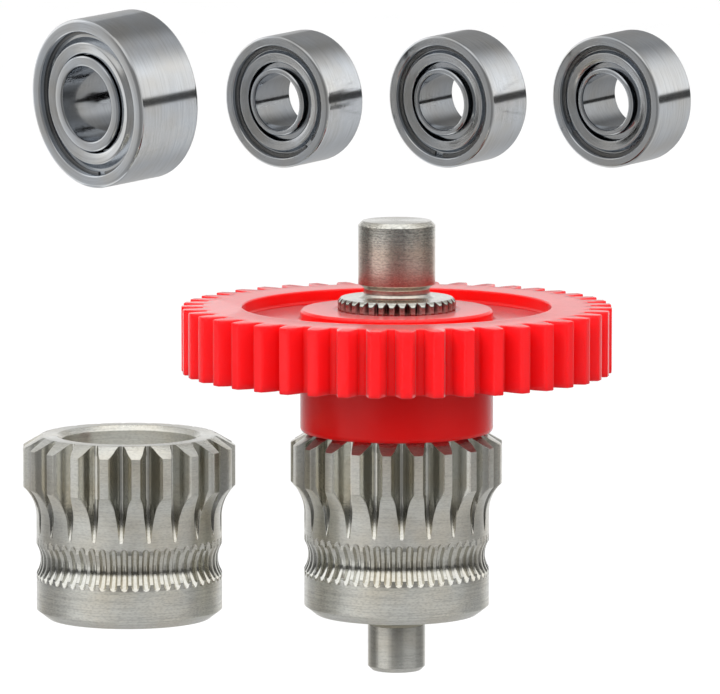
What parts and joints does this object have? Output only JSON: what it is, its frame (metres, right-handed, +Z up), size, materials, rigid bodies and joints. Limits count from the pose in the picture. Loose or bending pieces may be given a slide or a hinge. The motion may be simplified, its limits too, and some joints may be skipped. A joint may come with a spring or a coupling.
{
  "type": "extruder gear assembly",
  "caption": "Drive shaft with a toothed, grooved drum and a pressed-on spur gear, a matching bored idler gear, and shielded ball bearings, laid out as a kit.",
  "frame": {"origin": "centre of the drive shaft's lower end face", "axes": "+Z up along the drive shaft, -Y the front, +X to the right with the idler gear at -X"},
  "size_m": [0.0348, 0.0247, 0.0336],
  "materials": {
    "turned_steel": "satin, fine turned lines",
    "red_acetal": "moulded, soft sheen",
    "bearing_ring": "ground and polished",
    "shield_steel": "pressed sheet, bright",
    "clip_steel": "spring wire",
    "cage_steel": "pressed",
    "ball_steel": "polished"
  },
  "bodies": {
    "root": {"upper_bearing_outer_ring": "bearing_ring", "upper_bearing_shield_front": "shield_steel", "upper_bearing_shield_back": "shield_steel", "upper_bearing_clip_front": "clip_steel", "upper_bearing_clip_back": "clip_steel", "lower_bearing_outer_ring": "bearing_ring", "lower_bearing_shield_front": "shield_steel", "lower_bearing_shield_back": "shield_steel", "lower_bearing_clip_front": "clip_steel", "lower_bearing_clip_back": "clip_steel", "idler_bearing_1_outer_ring": "bearing_ring", "idler_bearing_1_shield_front": "shield_steel", "idler_bearing_1_shield_back": "shield_steel", "idler_bearing_1_clip_front": "clip_steel", "idler_bearing_1_clip_back": "clip_steel", "idler_bearing_2_outer_ring": "bearing_ring", "idler_bearing_2_shield_front": "shield_steel", "idler_bearing_2_shield_back": "shield_steel", "idler_bearing_2_clip_front": "clip_steel", "idler_bearing_2_clip_back": "clip_steel"},
    "drive": {"drive_shaft": "turned_steel", "spur_gear": "red_acetal"},
    "idler": {"idler_gear": "turned_steel"},
    "upper_bearing_inner": {"upper_bearing_inner_ring": "bearing_ring"},
    "upper_bearing_cage_set": {"upper_bearing_cage": "cage_steel", "upper_bearing_balls": "ball_steel"},
    "lower_bearing_inner": {"lower_bearing_inner_ring": "bearing_ring"},
    "lower_bearing_cage_set": {"lower_bearing_cage": "cage_steel", "lower_bearing_balls": "ball_steel"},
    "idler_bearing_1_inner": {"idler_bearing_1_inner_ring": "bearing_ring"},
    "idler_bearing_1_cage_set": {"idler_bearing_1_cage": "cage_steel", "idler_bearing_1_balls": "ball_steel"},
    "idler_bearing_2_inner": {"idler_bearing_2_inner_ring": "bearing_ring"},
    "idler_bearing_2_cage_set": {"idler_bearing_2_cage": "cage_steel", "idler_bearing_2_balls": "ball_steel"}
  },
  "joints": [
    {"name": "drive_spin", "type": "hinge", "parent": "root", "child": "drive", "pos_m": [0, 0, 0.003], "axis": [0, 0, 1], "continuous": true},
    {"name": "idler_spin", "type": "hinge", "parent": "root", "child": "idler", "pos_m": [-0.01385, -0.0013, 0.003], "axis": [0, 0, 1], "continuous": true},
    {"name": "upper_bearing_spin", "type": "hinge", "parent": "root", "child": "upper_bearing_inner", "pos_m": [-0.01485, 0.009, 0.029], "axis": [0.7403, 0.6666, 0.0872], "continuous": true},
    {"name": "upper_bearing_cage_spin", "type": "hinge", "parent": "root", "child": "upper_bearing_cage_set", "pos_m": [-0.01485, 0.009, 0.029], "axis": [0.7403, 0.6666, 0.0872], "continuous": true},
    {"name": "lower_bearing_spin", "type": "hinge", "parent": "root", "child": "lower_bearing_inner", "pos_m": [-0.00538, 0.009, 0.029], "axis": [0.6214, 0.7812, 0.0593], "continuous": true},
    {"name": "lower_bearing_cage_spin", "type": "hinge", "parent": "root", "child": "lower_bearing_cage_set", "pos_m": [-0.00538, 0.009, 0.029], "axis": [0.6214, 0.7812, 0.0593], "continuous": true},
    {"name": "idler_bearing_1_spin", "type": "hinge", "parent": "root", "child": "idler_bearing_1_inner", "pos_m": [0.00327, 0.009, 0.029], "axis": [0.6214, 0.7812, 0.0593], "continuous": true},
    {"name": "idler_bearing_1_cage_spin", "type": "hinge", "parent": "root", "child": "idler_bearing_1_cage_set", "pos_m": [0.00327, 0.009, 0.029], "axis": [0.6214, 0.7812, 0.0593], "continuous": true},
    {"name": "idler_bearing_2_spin", "type": "hinge", "parent": "root", "child": "idler_bearing_2_inner", "pos_m": [0.01192, 0.009, 0.029], "axis": [0.6214, 0.7812, 0.0593], "continuous": true},
    {"name": "idler_bearing_2_cage_spin", "type": "hinge", "parent": "root", "child": "idler_bearing_2_cage_set", "pos_m": [0.01192, 0.009, 0.029], "axis": [0.6214, 0.7812, 0.0593], "continuous": true}
  ],
  "couplings": [
    {"joint": "upper_bearing_cage_spin", "follows": "upper_bearing_spin", "ratio": 0.4},
    {"joint": "lower_bearing_cage_spin", "follows": "lower_bearing_spin", "ratio": 0.4},
    {"joint": "idler_bearing_1_cage_spin", "follows": "idler_bearing_1_spin", "ratio": 0.4},
    {"joint": "idler_bearing_2_cage_spin", "follows": "idler_bearing_2_spin", "ratio": 0.4}
  ]
}
